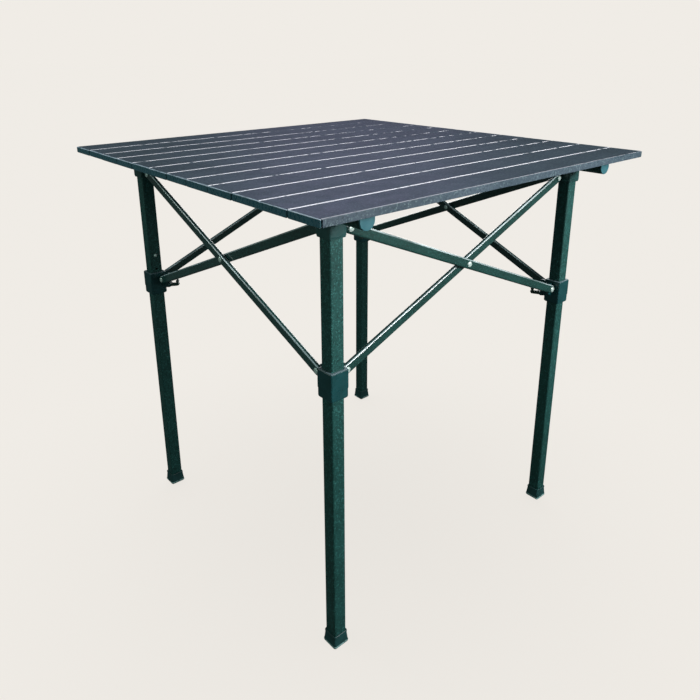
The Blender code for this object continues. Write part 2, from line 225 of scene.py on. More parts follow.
class Nodes:
    """Short calls for building one material's nodes; noise scales are per metre."""

    def __init__(self, name):
        self.material = bpy.data.materials.new(name)
        self.material.use_nodes = True
        self.tree = self.material.node_tree
        self.shader = self.tree.nodes["Principled BSDF"]
        self.place = self.tree.nodes.new("ShaderNodeTexCoord").outputs["Object"]

    def link(self, source, target):
        self.tree.links.new(source, target)

    def put(self, socket, value):
        """Link an output, or set a plain value."""
        if isinstance(value, bpy.types.NodeSocket):
            self.link(value, socket)
        else:
            socket.default_value = value

    def noise(self, scale, detail=2.0, roughness=0.5, place=None):
        """Cloudy noise about 0.5, in the table's own coordinates."""
        node = self.tree.nodes.new("ShaderNodeTexNoise")
        self.link(place or self.place, node.inputs["Vector"])
        node.inputs["Scale"].default_value = scale
        node.inputs["Detail"].default_value = detail
        node.inputs["Roughness"].default_value = roughness
        return node.outputs["Fac"]

    def stretched(self, scale):
        """The place with each axis scaled by its own amount."""
        node = self.tree.nodes.new("ShaderNodeMapping")
        self.link(self.place, node.inputs["Vector"])
        node.inputs["Scale"].default_value = scale
        return node.outputs["Vector"]

    def ramp(self, value, low, high, to_low=0.0, to_high=1.0):
        """Smooth step: to_low up to low, to_high from high on."""
        node = self.tree.nodes.new("ShaderNodeMapRange")
        node.interpolation_type = "SMOOTHSTEP"
        self.link(value, node.inputs["Value"])
        node.inputs["From Min"].default_value = low
        node.inputs["From Max"].default_value = high
        node.inputs["To Min"].default_value = to_low
        node.inputs["To Max"].default_value = to_high
        return node.outputs["Result"]

    def math(self, operation, first, second=0.0):
        node = self.tree.nodes.new("ShaderNodeMath")
        node.operation = operation
        self.put(node.inputs[0], first)
        self.put(node.inputs[1], second)
        return node.outputs["Value"]

    def mix(self, factor, first, second):
        """Blend of two colours, each an output or plain red, green and blue."""
        node = self.tree.nodes.new("ShaderNodeMix")
        node.data_type = "RGBA"
        self.put(node.inputs["Factor"], factor)
        for name, colour in (("A", first), ("B", second)):
            linked = isinstance(colour, bpy.types.NodeSocket)
            self.put(node.inputs[name], colour if linked else (*colour, 1.0))
        return node.outputs["Result"]

    def axis(self, name):
        """The place along X, Y or Z, in metres."""
        node = self.tree.nodes.new("ShaderNodeSeparateXYZ")
        self.link(self.place, node.inputs["Vector"])
        return node.outputs[name]

    def upward(self):
        """How far the surface faces up, in the piece's own frame."""
        node = self.tree.nodes.new("ShaderNodeSeparateXYZ")
        self.link(self.tree.nodes.new("ShaderNodeTexCoord").outputs["Normal"], node.inputs["Vector"])
        return node.outputs["Z"]

    def bump(self, height, distance, strength=1.0):
        node = self.tree.nodes.new("ShaderNodeBump")
        node.inputs["Strength"].default_value = strength
        node.inputs["Distance"].default_value = distance
        self.link(height, node.inputs["Height"])
        self.link(node.outputs["Normal"], self.shader.inputs["Normal"])

    def set(self, **values):
        """Set the shader's own sockets by name, with underscores for spaces."""
        for name, value in values.items():
            self.put(self.shader.inputs[name.replace("_", " ")], value)


def powder_coat(name, dark, light, speck, roughness=0.46, coat=0.0, painted_highlight=None):
    """Textured powder coat with pale specks and dark pores, and a painted highlight in a pale colour on the
    upper edge bevels if given.
    """
    n = Nodes(name)
    cloud = n.ramp(n.noise(14.0, 3.0), 0.35, 0.65)
    base = n.mix(cloud, dark, light)
    pores = n.ramp(n.noise(360.0, 2.0, 0.7), 0.36, 0.48, 1.0, 0.0)
    base = n.mix(n.math("MULTIPLY", pores, 0.60), base, [0.35 * channel for channel in dark])
    grain = n.ramp(n.noise(400.0, 2.0, 0.8), 0.54, 0.66)
    colour = n.mix(n.math("MULTIPLY", grain, 0.65), base, speck)
    if painted_highlight is not None:
        # painted highlight: a pale band on bevels that face partly up, standing in for the line of light
        # along the upper edges
        facing = n.upward()
        not_upright = n.ramp(facing, 0.24, 0.40)
        not_level = n.ramp(facing, 0.76, 0.90, 1.0, 0.0)
        edge = n.math("MULTIPLY", not_upright, not_level)
        edge = n.math("MULTIPLY", edge, n.ramp(n.noise(11.0, 2.0), 0.38, 0.60, 0.30, 1.0))
        colour = n.mix(edge, colour, painted_highlight)
    n.link(colour, n.shader.inputs["Base Color"])
    sheen = n.ramp(n.noise(700.0, 2.0), 0.3, 0.7, roughness - 0.08, roughness + 0.10)
    n.link(sheen, n.shader.inputs["Roughness"])
    n.set(Metallic=0.0, IOR=1.40, Coat_Weight=coat, Coat_Roughness=0.13)
    n.bump(n.noise(800.0, 2.0), 0.00012, 0.5)
    return n.material


def moulding(name, dark, light, roughness=0.38, highlight_above=None, highlight_colour=None):
    """Smooth injection moulding with faint flow marks, and a painted highlight band in a colour above a
    height if given.
    """
    n = Nodes(name)
    cloud = n.ramp(n.noise(60.0, 3.0), 0.3, 0.7)
    base = n.mix(cloud, dark, light)
    if highlight_above is not None:
        # painted highlight: a pale band along the top edge, standing in for the light caught there
        highlight_band = n.ramp(n.axis("Z"), highlight_above - 0.4 * MM, highlight_above + 0.2 * MM)
        highlight_band = n.math("MULTIPLY", highlight_band, n.ramp(n.noise(45.0, 3.0), 0.34, 0.50, 0.45, 1.0))
        base = n.mix(highlight_band, base, highlight_colour)
    n.link(base, n.shader.inputs["Base Color"])
    sheen = n.ramp(n.noise(260.0, 2.0), 0.3, 0.7, roughness - 0.07, roughness + 0.07)
    n.link(sheen, n.shader.inputs["Roughness"])
    n.set(Metallic=0.0, IOR=1.48)
    n.bump(n.noise(500.0, 2.0), 0.00006, 0.5)
    return n.material


def slat_paint():
    """Slate-grey painted aluminium, with a painted highlight in broken patches along the slat edges."""
    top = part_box("slat_01")[1].z
    front_edge = cad_low.y
    pitch = (cad_high.y - front_edge) / SLAT_COUNT
    n = Nodes("slat_paint")
    cloud = n.ramp(n.noise(9.0, 4.0, 0.55), 0.36, 0.64)
    streak = n.ramp(n.noise(1.0, 3.0, 0.6, n.stretched((5.0, 60.0, 60.0))), 0.35, 0.7)
    base = n.mix(cloud, (0.046, 0.072, 0.092), (0.060, 0.092, 0.118))
    base = n.mix(n.math("MULTIPLY", streak, 0.35), base, (0.072, 0.104, 0.130))
    pores = n.ramp(n.noise(300.0, 2.0, 0.7), 0.38, 0.50, 1.0, 0.0)
    base = n.mix(n.math("MULTIPLY", pores, 0.50), base, (0.012, 0.028, 0.034))
    speck = n.ramp(n.noise(330.0, 2.0, 0.8), 0.56, 0.66)
    base = n.mix(n.math("MULTIPLY", speck, 0.65), base, (0.17, 0.25, 0.26))
    # near a long edge of any slat
    phase = n.math("DIVIDE", n.math("SUBTRACT", n.axis("Y"), front_edge), pitch)
    nearest = n.math("ABSOLUTE", n.math("SUBTRACT", phase, n.math("ROUND", phase)))
    at_edge = n.ramp(n.math("MULTIPLY", nearest, pitch), 1.6 * MM, 2.4 * MM, 1.0, 0.0)
    # near the top face, and nearer still along the table's front edge
    front = n.ramp(n.axis("Y"), front_edge + 4 * MM, front_edge + 6 * MM, 0.9 * MM, 0.0)
    at_top = n.math("ADD", n.axis("Z"), n.math("MULTIPLY", front, -1.0))
    at_top = n.ramp(at_top, top - 1.2 * MM, top - 0.7 * MM)
    # painted highlight in broken patches, fewer of them towards the far right corner
    far = n.ramp(n.math("ADD", n.axis("X"), n.math("MULTIPLY", n.axis("Y"), 0.6)), -0.10, 0.42, 0.0, 0.20)
    broken = n.noise(1.0, 3.0, 0.6, n.stretched((70.0, 14.0, 1.0)))
    broken = n.ramp(n.math("SUBTRACT", broken, far), 0.30, 0.44)
    # the bright edge lines are a painted highlight along the slats' rounded top edges
    painted_highlight = n.math("MULTIPLY", n.math("MULTIPLY", at_edge, at_top), broken)
    n.link(n.mix(painted_highlight, base, (0.86, 0.88, 0.92)), n.shader.inputs["Base Color"])
    n.link(n.ramp(n.noise(30.0, 3.0), 0.3, 0.7, 0.36, 0.48), n.shader.inputs["Roughness"])
    n.set(IOR=1.42, Metallic=0.0)
    n.bump(n.noise(700.0, 2.0), 0.00010, 0.5)
    return n.material


def foot_rubber():
    """Dark moulded foot, with a pale painted highlight band just above the sole."""
    n = Nodes("foot_rubber")
    cloud = n.ramp(n.noise(80.0, 3.0), 0.3, 0.7)
    base = n.mix(cloud, (0.008, 0.050, 0.048), (0.012, 0.070, 0.070))
    height = n.axis("Z")
    above_sole = n.ramp(height, 2.0 * MM, 3.0 * MM)
    below_skirt = n.ramp(height, 4.2 * MM, 5.4 * MM, 1.0, 0.0)
    band = n.math("MULTIPLY", above_sole, below_skirt)
    # painted highlight on the skirt's upper chamfer, the same all round
    skirt_highlight = n.math("MULTIPLY", band, n.ramp(n.noise(120.0, 2.0), 0.36, 0.5))
    n.link(n.mix(skirt_highlight, base, (0.26, 0.48, 0.46)), n.shader.inputs["Base Color"])
    n.set(Roughness=0.5, Metallic=0.0, IOR=1.47)
    n.bump(n.noise(700.0, 2.0), 0.00008, 0.5)
    return n.material


def zinc():
    """Bright zinc-plated rivet."""
    n = Nodes("zinc")
    tint = n.ramp(n.noise(900.0, 2.0), 0.35, 0.65)
    n.link(n.mix(tint, (0.56, 0.80, 0.70), (0.78, 0.90, 0.86)), n.shader.inputs["Base Color"])
    n.link(n.ramp(n.noise(1500.0, 2.0), 0.3, 0.7, 0.26, 0.38), n.shader.inputs["Roughness"])
    n.set(Metallic=0.45, Coat_Weight=0.6, Coat_Roughness=0.15)
    n.bump(n.noise(1200.0, 1.0), 0.00003, 0.4)
    return n.material


def make_materials():
    """All materials by short name; colours are linear red, green and blue."""
    slider_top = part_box("slider_front_left")[1].z
    return {
        "leg": powder_coat("leg_coat", (0.008, 0.056, 0.048), (0.011, 0.070, 0.061), (0.055, 0.22, 0.20)),
        # the bars carry a pale painted highlight along their upper bevels
        "bar": powder_coat(
            "bar_coat", (0.005, 0.038, 0.031), (0.007, 0.048, 0.040), (0.025, 0.11, 0.095),
            roughness=0.42, coat=1.0, painted_highlight=(0.44, 0.56, 0.56),
        ),
        "rail": powder_coat("rail_coat", (0.008, 0.040, 0.033), (0.011, 0.052, 0.043), (0.06, 0.17, 0.15)),
        # the end caps and sliders carry a pale painted highlight along their top edges
        "edge_cap": moulding(
            "edge_cap_moulding", (0.016, 0.058, 0.070), (0.022, 0.072, 0.086), 0.30,
            highlight_above=cad_high.z - 0.8 * MM, highlight_colour=(0.28, 0.35, 0.40),
        ),
        "rail_cap": moulding("rail_cap_moulding", (0.026, 0.116, 0.138), (0.034, 0.138, 0.160), 0.42),
        "leg_cap": moulding("leg_cap_moulding", (0.014, 0.060, 0.056), (0.018, 0.076, 0.072)),
        "slider": moulding(
            "slider_moulding", (0.006, 0.048, 0.050), (0.009, 0.062, 0.066), 0.34,
            highlight_above=slider_top - 0.6 * MM, highlight_colour=(0.14, 0.21, 0.23),
        ),
        "lever": moulding("lever_moulding", (0.006, 0.030, 0.022), (0.009, 0.040, 0.030)),
        "slat": slat_paint(),
        "foot": foot_rubber(),
        "zinc": zinc(),
    }


# ---------------------------------------------------------------- table top

END_CAP = 2.2 * MM
END_GAP = 0.9 * MM
END_PLUG = 9.0 * MM
END_CAP_EASE = 0.45 * MM
END_CAP_INSET = 0.45 * MM
SLAT_WALL = 1.3 * MM
SLAT_LIP = 8.0 * MM
RAIL_WALL = 1.5 * MM
RAIL_FLANGE = 3.0 * MM
RAIL_PLUG = 11.0 * MM


def front_notches(low, high, ends):
    """Cutters for the small notch at both ends of the front slat's outer wall."""
    spare = 1 * MM
    long = 1.3 * MM
    back = low.y + 1.6 * MM
    ahead = low.y - spare
    top = high.z - 1.2 * MM
    under = low.z - spare
    outline = [(ahead, under), (back, under), (back, top), (ahead, top)]
    notches = []
    for end, sign in zip(ends, (1, -1)):
        notches.append(prism(outline, end - sign * spare, end + sign * long, UPRIGHT_ALONG_X))
    return notches


def slat_shape(low, high):
    """Channel with rounded upper edges and turned-in lips, drawn in Y and Z and pushed along X."""
    round_top = 1.0 * MM
    round_low = 0.5 * MM
    inner_low = low.z + SLAT_WALL
    inner_high = high.z - SLAT_WALL
    outline = arc((high.y - round_top, high.z - round_top), round_top, 0, 90, 4)
    outline += arc((low.y + round_top, high.z - round_top), round_top, 90, 180, 4)
    outline += arc((low.y + round_low, low.z + round_low), round_low, 180, 270, 2)
    outline += [(low.y + SLAT_LIP, low.z), (low.y + SLAT_LIP, inner_low), (low.y + SLAT_WALL, inner_low)]
    outline += [(low.y + SLAT_WALL, inner_high), (high.y - SLAT_WALL, inner_high)]
    outline += [(high.y - SLAT_WALL, inner_low), (high.y - SLAT_LIP, inner_low), (high.y - SLAT_LIP, low.z)]
    outline += arc((high.y - round_low, low.z + round_low), round_low, 270, 360, 2)
    ends = (low.x + END_CAP + END_GAP, high.x - END_CAP - END_GAP)
    body = prism(outline, *ends, UPRIGHT_ALONG_X)
    if low.y < cad_low.y + 1 * MM:
        body = drilled(body, front_notches(low, high, ends))
    return softened(body, 0.15 * MM, 1)


def slat_cap_shape(low, high, side, inset):
    """Moulded plate that closes a slat's end, with a plug inside the channel."""
    half_y = (high.y - low.y) / 2 - END_CAP_EASE
    half_z = (high.z - low.z) / 2
    turn = Matrix.Translation((0, (low.y + high.y) / 2, (low.z + high.z) / 2)) @ UPRIGHT_ALONG_X
    face = high.x - inset if side > 0 else low.x + inset
    back = face - side * END_CAP
    plate = prism(rounded_box(half_y, half_z, 1.2 * MM, 4), back, face, turn)
    plug_end = back - side * END_PLUG
    plug_outline = rounded_box(half_y - 1.7 * MM, half_z - 1.7 * MM, 0.8 * MM, 2)
    plug = prism(plug_outline, plug_end, back, turn)
    return joined([softened(plate, 0.7 * MM, 4), softened(plug, 0.3 * MM, 2)])


def build_slats(materials):
    """Slats with their end caps; each cap is set in by a slightly different amount."""
    for i in range(SLAT_COUNT):
        node = f"slat_{i + 1:02d}"
        body = "table_top" if i == 0 else node
        low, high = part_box(node)
        shape = slat_shape(low, high)
        add_piece(f"{node}_extrusion", shape, AS_DRAWN, materials["slat"], body, (node,))
        for side, label in ((-1, "left"), (1, "right")):
            inset = END_CAP_INSET * (1 + math.sin(2.4 * i + side))
            cap = slat_cap_shape(low, high, side, inset)
            name = f"{node}_end_cap_{label}"
            add_piece(name, cap, AS_DRAWN, materials["edge_cap"], body)


def half_round(width, height, steps=20):
    """Rail outline about its top line: flat on top, round below, with eased upper corners."""
    radius = width / 2
    ease = 1.2 * MM
    outline = arc((radius - ease, -ease), ease, 90, 0, 3)
    outline += arc((0.0, radius - height), radius, 0, -180, steps)
    outline += arc((ease - radius, -ease), ease, 180, 90, 3)
    return outline


def along_y(outline, y):
    """Outline in X and Z placed at a distance along Y."""
    return [(x, y, z) for x, z in outline]


def rail_tube_shape(low, high):
    """Half-round tube, open at both ends."""
    width = high.x - low.x
    height = high.z - low.z
    outer = half_round(width, height)
    inner = [(x, z - RAIL_WALL) for x, z in half_round(width - 2 * RAIL_WALL, height - 2 * RAIL_WALL)]
    stations = ((outer, low.y), (outer, high.y), (inner, high.y), (inner, low.y))
    tube = loft([along_y(outline, y) for outline, y in stations], closed=True)
    return softened(tube, 0.25 * MM, 2)


def rail_cap_shape(width, height, face, sign):
    """Half-round flange over the rail's end, with a plug inside the tube."""
    flange = face - sign * RAIL_FLANGE
    plate = loft([along_y(half_round(width, height), y) for y in (face, flange)])
    plug = [(x, z - 2.0 * MM) for x, z in half_round(width - 4 * MM, height - 4 * MM)]
    stub = loft([along_y(plug, y) for y in (flange, face - sign * RAIL_PLUG)])
    return joined([softened(plate, 0.7 * MM, 3), softened(stub, 0.3 * MM, 1)])


def build_rails(materials):
    """The two rails under the slats, each with a cap at both ends."""
    for side in ("left", "right"):
        low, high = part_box(f"rail_{side}")
        place = Matrix.Translation(((low.x + high.x) / 2, 0, high.z))
        rail = f"rail_{side}"
        tube = rail_tube_shape(low, high)
        add_piece(f"{rail}_tube", tube, place, materials["rail"], "table_top", (rail,))
        for end, sign in (("front", -1), ("rear", 1)):
            node = f"rail_cap_{side}_{end}"
            cap_low, cap_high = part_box(node)
            face = cap_low.y if sign < 0 else cap_high.y
            shape = rail_cap_shape(high.x - low.x, high.z - low.z, face, sign)
            name = f"{node}_moulding"
            add_piece(name, shape, place, materials["rail_cap"], "table_top", (node,))


# ---------------------------------------------------------------- corners

EAR_REACH = 26.0 * MM
EAR_HALF = 2.0 * MM
EAR_ROUND = 7.2 * MM
EAR_SUNK = 1.2 * MM
WEB_BULGE = 1.6 * MM
WEB_STEPS = 5
CAP_WEB_BOTTOM = -6.6 * MM
SLIDER_WEB_BOTTOM = -16.5 * MM
PLAY = 0.4 * MM
BAR_DEEP = 7.0 * MM
BAR_PLANES = {"outer": -4.2 * MM, "inner": 3.8 * MM}
EAR_PLANES = {layer: plane + BAR_DEEP / 2 + PLAY + EAR_HALF for layer, plane in BAR_PLANES.items()}
CAP_LAYERS = {"x": "outer", "y": "inner"}
SLIDER_LAYERS = {"x": "inner", "y": "outer"}
LEG_WALL = 1.2 * MM
LEG_ROUND = 2.4 * MM
LATCH_HOLE = 1.8 * MM
LATCH_HOLE_DROP = 26.5 * MM
STOP_FACE = 11.1 * MM
SOCKET_HALF = 11.3 * MM
SOCKET_ROUND = 2.4 * MM
FOOT_SOLE = 4.2 * MM
FOOT_RIM_STEP = 1.4 * MM
CAP_HALF = 14.1 * MM
CAP_THICK = 4.7 * MM
CAP_PIVOT_RISE = 7.5 * MM
SLIDER_HALF = 15.5 * MM
SLIDER_STEP = 0.5 * MM
SLIDER_BAND_RISE = 15.0 * MM
SLIDER_BORE_HALF = 11.4 * MM
SLIDER_BORE_ROUND = 2.2 * MM
SLIDER_PIVOT_RISE = 31.0 * MM

# Outer shape of the moulded parts, as rows of inset, corner radius and height in millimetres
FOOT_SKIRT = ((1.6, 2.6, 0.0), (0.2, 3.4, 1.6), (0.0, 3.5, 2.6), (0.0, 3.5, 4.2), (0.5, 3.4, 5.4))
FOOT_RIM = ((0.4, 3.2, -3.4), (0.0, 3.2, -3.0), (0.0, 3.2, -0.9), (0.7, 2.8, 0.0))
CAP_CROWN = ((1.2, 2.4, 0.0), (0.3, 2.6, -0.5), (0.0, 2.6, -1.4))
CAP_LIP = ((0.0, 2.6, 2.6), (0.5, 2.5, 2.2), (0.5, 2.5, 0.4), (0.9, 2.4, 0.0))
SLIDER_LOWER = ((2.2, 2.2, 0.0), (0.5, 2.6, 1.4), (0.0, 2.6, 3.0))
SLIDER_SHOULDER = ((0.5, 2.6, -0.4), (0.0, 2.8, 0.0))
SLIDER_CROWN = ((0.0, 2.8, -1.3), (1.3, 2.4, 0.0))

# Rivets and the lever's axle, as rows of radius and height above a face in millimetres
RIVET_TAIL = ((1.2, -0.9), (2.6, -0.6), (3.1, 0.0), (2.2, 0.0))
RIVET_HEAD = ((2.2, 0.0), (4.6, 0.0), (4.5, 0.5), (3.8, 1.1), (2.4, 1.5), (1.2, 1.5), (0.9, 1.1))
CROSS_HEAD = ((2.2, 0.0), (4.6, 0.0), (4.5, 0.6), (3.7, 1.2), (2.3, 1.6), (1.2, 1.6), (0.9, 1.2))
STOP_HEAD = ((1.4, -2.5), (1.4, 0.0), (3.0, 0.0), (2.9, 0.5), (2.2, 1.1), (1.1, 1.4), (0.4, 1.45))
AXLE_HEAD = ((1.3, 5.8), (2.2, 5.8), (2.2, 6.3), (1.32, 6.7))


def corner_place(index):
    """Matrix from the corner's own frame, with the leg's axis at its origin, to the table's."""
    low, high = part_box(f"leg_{CORNERS[index]}")
    centre = (low + high) / 2
    return Matrix.Translation((centre.x, centre.y, 0)) @ Matrix.Rotation(math.radians(90 * index), 4, "Z")


def side_turn(side, height):
    """Place an upright outline on the ear that points along X or Y, at a height."""
    turn = UPRIGHT_ALONG_Y if side == "x" else UPRIGHT_ALONG_X
    return Matrix.Translation((0, 0, height)) @ turn


def stacked(half, height, rows):
    """Rounded square rings from rows of inset, corner radius and height, added to the size and height."""
    rings = []
    for inset, radius, rise in rows:
        side = half - inset * MM
        rings.append(level(rounded_box(side, side, radius * MM), height + rise * MM))
    return rings


def headed(face, rows):
    """Profile to turn, from rows of radius and height above a face."""
    return [(radius * MM, face + rise * MM) for radius, rise in rows]


def both_heads(face, rows):
    """Profile of a pin with the same head at both ends, a face's height either side of its middle."""
    head = headed(face, rows)
    return [(radius, -rise) for radius, rise in reversed(head)] + head


def ear_shape(root, top, bottom, side, plane, height):
    """Rounded pivot lug that stands behind a bar, with a curved web under it."""
    outline = [(root, top)] + arc((EAR_REACH, 0.0), EAR_ROUND, 90, -60, 12)
    foot_x, foot_z = outline[-1]
    for i in range(1, WEB_STEPS):
        t = i / WEB_STEPS
        bulge = WEB_BULGE * math.sin(math.pi * t)
        outline.append((foot_x + (root - foot_x) * t + bulge / 2, foot_z + (bottom - foot_z) * t - bulge))
    outline.append((root, bottom))
    turn = side_turn(side, height)
    return softened(prism(outline, plane - EAR_HALF, plane + EAR_HALF, turn), 0.5 * MM, 3)


def rivet_shape(side, plane, height):
    """Rivet through an ear and a bar: a domed head on the bar and a small tail on the ear."""
    profile = headed(-EAR_HALF - 0.1 * MM, RIVET_TAIL)
    profile += headed(EAR_HALF + 2 * PLAY + BAR_DEEP, RIVET_HEAD)
    profile = [(radius, plane - rise) for radius, rise in profile]
    place = Matrix.Translation((EAR_REACH, 0, 0) if side == "x" else (0, EAR_REACH, 0))
    return turned(profile, place @ side_turn(side, height))


def leg_shape(low, high, stop_z):
    """Square tube with rounded corners and two holes in its inner wall."""
    half = (high.x - low.x) / 2
    outer = rounded_box(half, half, LEG_ROUND, 6)
    inner = rounded_box(half - LEG_WALL, half - LEG_WALL, LEG_ROUND - LEG_WALL, 6)
    rings = [level(outer, low.z), level(outer, high.z), level(inner, high.z), level(inner, low.z)]
    tube = loft(rings, closed=True)
    drills = []
    for height in (stop_z, stop_z - LATCH_HOLE_DROP):
        turn = Matrix.Translation((0, 0, height)) @ UPRIGHT_ALONG_X
        drills.append(turned([(LATCH_HOLE, half / 2), (LATCH_HOLE, 2 * half)], turn, 20))
    return softened(drilled(tube, drills), 0.2 * MM, 1, 50)


def foot_shape(low, high):
    """Boot with a stepped rim on top, a flared skirt and a worn sole edge."""
    half = (high.x - low.x) / 2
    socket = rounded_box(SOCKET_HALF, SOCKET_HALF, SOCKET_ROUND)
    rings = stacked(half, low.z, FOOT_SKIRT) + stacked(half - FOOT_RIM_STEP, high.z, FOOT_RIM)
    rings += [level(socket, high.z), level(socket, low.z + FOOT_SOLE)]
    return softened(loft(rings), 0.25 * MM, 2, 25)


def cap_shape(low, high, pivot_z):
    """Cap over the leg's top with a lip below, and its two ears."""
    socket = rounded_box(SOCKET_HALF, SOCKET_HALF, SOCKET_ROUND)
    rings = stacked(CAP_HALF, high.z, CAP_CROWN) + stacked(CAP_HALF, low.z, CAP_LIP)
    rings += [level(socket, low.z), level(socket, high.z - CAP_THICK)]
    parts = [softened(loft(rings), 0.2 * MM, 1, 25)]
    root = CAP_HALF - EAR_SUNK
    for side, layer in CAP_LAYERS.items():
        plane = EAR_PLANES[layer]
        parts.append(ear_shape(root, EAR_ROUND, CAP_WEB_BOTTOM, side, plane, pivot_z))
    return joined(parts)


def slider_shape(low, high, pivot_z):
    """Sleeve with a thicker upper band, its two ears and the lever's bracket."""
    bore = rounded_box(SLIDER_BORE_HALF, SLIDER_BORE_HALF, SLIDER_BORE_ROUND)
    rings = stacked(SLIDER_HALF - SLIDER_STEP, low.z, SLIDER_LOWER)
    rings += stacked(SLIDER_HALF, low.z + SLIDER_BAND_RISE, SLIDER_SHOULDER)
    rings += stacked(SLIDER_HALF, high.z, SLIDER_CROWN)
    rings += [level(bore, high.z), level(bore, low.z)]
    parts = [softened(loft(rings, closed=True), 0.2 * MM, 2, 25)]
    root = SLIDER_HALF - EAR_SUNK
    for side, layer in SLIDER_LAYERS.items():
        plane = EAR_PLANES[layer]
        parts.append(ear_shape(root, EAR_ROUND, SLIDER_WEB_BOTTOM, side, plane, pivot_z))
    return joined(parts + bracket_shapes(pivot_z))


LEVER_REACH = 27.5 * MM
LEVER_DROP = 14.5 * MM
LEVER_HALF = 3.5 * MM
CHEEK_INNER = 3.9 * MM
CHEEK_OUTER = 5.9 * MM
CHEEK_ROOT = 15.0 * MM
CHEEK_ROUND = 4.2 * MM
DIAGONAL = Matrix.Rotation(math.radians(45), 4, "Z")


def lever_place(pivot_z):
    """Matrix to the lever's axle, on the slider's inner corner."""
    axle = Matrix.Translation((LEVER_REACH, 0, -LEVER_DROP))
    return Matrix.Translation((0, 0, pivot_z)) @ DIAGONAL @ axle


def bracket_shapes(pivot_z):
    """Two cheeks on the sleeve's inner corner and the headed axle between them."""
    outline = [(CHEEK_ROOT, -19.0 * MM), (CHEEK_ROOT, -8.5 * MM)]
    outline += arc((LEVER_REACH, -LEVER_DROP), CHEEK_ROUND, 80, -80, 12)
    turn = Matrix.Translation((0, 0, pivot_z)) @ DIAGONAL @ UPRIGHT_ALONG_Y
    shapes = []
    for near, far in ((CHEEK_INNER, CHEEK_OUTER), (-CHEEK_OUTER, -CHEEK_INNER)):
        shapes.append(softened(prism(outline, near, far, turn), 0.4 * MM, 2))
    shapes.append(turned(both_heads(0.0, AXLE_HEAD), lever_place(pivot_z) @ UPRIGHT_ALONG_Y, 20))
    return shapes


def lever_shape(pivot_z):
    """Lever with a round hub, a waisted arm and an upturned knob with a flared crown."""
    hub = 3.8 * MM
    half = 2.6 * MM
    tip = 18.5 * MM
    crown = 9.4 * MM
    knob = 2.6 * MM
    outline = arc((0.0, 0.0), hub, 40, 300, 16)
    outline += [(tip - 5.0 * MM, -half + 0.5 * MM), (tip - 1.4 * MM, -half + 1.1 * MM)]
    outline += [(tip, -half + 2.6 * MM), (tip - 0.9 * MM, half + 0.6 * MM)]
    outline += [(tip - 1.7 * MM, half + 2.0 * MM)]
    outline += arc((tip - 3.0 * MM, crown - 2.2 * MM), knob, -20, 200, 12)
    outline += [(tip - 4.6 * MM, half + 2.0 * MM), (tip - 5.6 * MM, half + 0.8 * MM)]
    outline += [(tip - 8.0 * MM, half + 0.1 * MM)]
    turn = lever_place(pivot_z) @ UPRIGHT_ALONG_Y
    return softened(prism(outline, -LEVER_HALF, LEVER_HALF, turn), 0.7 * MM, 3)


def stop_rivet_shape(height):
    """Small domed rivet in the leg's inner wall."""
    turn = Matrix.Translation((0, 0, height)) @ UPRIGHT_ALONG_X
    return turned(headed(STOP_FACE, STOP_HEAD), turn)


def build_corners(materials):
    """Leg, foot, cap, slider, lever and rivets of each corner."""
    zinc_look = materials["zinc"]
    for index, corner in enumerate(CORNERS):
        place = corner_place(index)
        leg_body = f"{corner}_leg"
        slider_body = f"{corner}_slider"
        leg_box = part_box(f"leg_{corner}")
        cap_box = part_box(f"leg_cap_{corner}")
        slider_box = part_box(f"slider_{corner}")
        stop_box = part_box(f"stop_rivet_{corner}")
        top_z = cap_box[0].z + CAP_PIVOT_RISE
        slider_z = slider_box[0].z + SLIDER_PIVOT_RISE
        stop_z = (stop_box[0].z + stop_box[1].z) / 2
        leg = leg_shape(*leg_box, stop_z)
        foot = foot_shape(*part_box(f"foot_{corner}"))
        cap = cap_shape(*cap_box, top_z)
        slider = slider_shape(*slider_box, slider_z)
        lever = lever_shape(slider_z)
        stop = stop_rivet_shape(stop_z)
        parts = (
            ("leg", leg, "leg", leg_body, "leg_tube", "tube"),
            ("foot", foot, "foot", leg_body, "foot_rubber", "boot"),
            ("leg_cap", cap, "leg_cap", leg_body, "leg_cap_plastic", "moulding"),
            ("slider", slider, "slider", slider_body, "slider_plastic", "moulding"),
            ("release_lever", lever, "lever", f"{corner}_lever", "lever_plastic", "moulding"),
            ("stop_rivet", stop, "zinc", leg_body, "rivet_zinc", "head"),
        )
        for kind, shape, look, body, slot, suffix in parts:
            node = f"{kind}_{corner}"
            add_piece(f"{node}_{suffix}", shape, place, materials[look], body, (node,))
        for side, label in (("x", "ahead"), ("y", "behind")):
            top = rivet_shape(side, EAR_PLANES[CAP_LAYERS[side]], top_z)
            low = rivet_shape(side, EAR_PLANES[SLIDER_LAYERS[side]], slider_z)
            add_piece(f"cap_rivet_{corner}_{label}", top, place, zinc_look, leg_body)
            add_piece(f"slider_rivet_{corner}_{label}", low, place, zinc_look, slider_body)


# ---------------------------------------------------------------- crossed bars

BAR_TALL = 15.0 * MM
BAR_EASE = 2.8 * MM


def bar_shape(span, drop, sign):
    """Bar with round ends and eased edges, leaning one way or the other about its middle."""
    length = math.hypot(span, drop)
    radius = BAR_TALL / 2
    outline = arc((length / 2, 0.0), radius, -90, 90, 16) + arc((-length / 2, 0.0), radius, 90, 270, 16)
    lean = Matrix.Rotation(sign * math.atan2(drop, span), 4, "Y")
    flat = prism(outline, -BAR_DEEP / 2, BAR_DEEP / 2, UPRIGHT_ALONG_Y)
    shape = softened(flat, BAR_EASE, 6)
    shape.transform(lean)
    return shape


def cross_rivet_shape(offset):
    """Rivet through both bars, with a domed head at each end."""
    return turned(both_heads(offset + BAR_DEEP / 2, CROSS_HEAD), UPRIGHT_ALONG_Y)


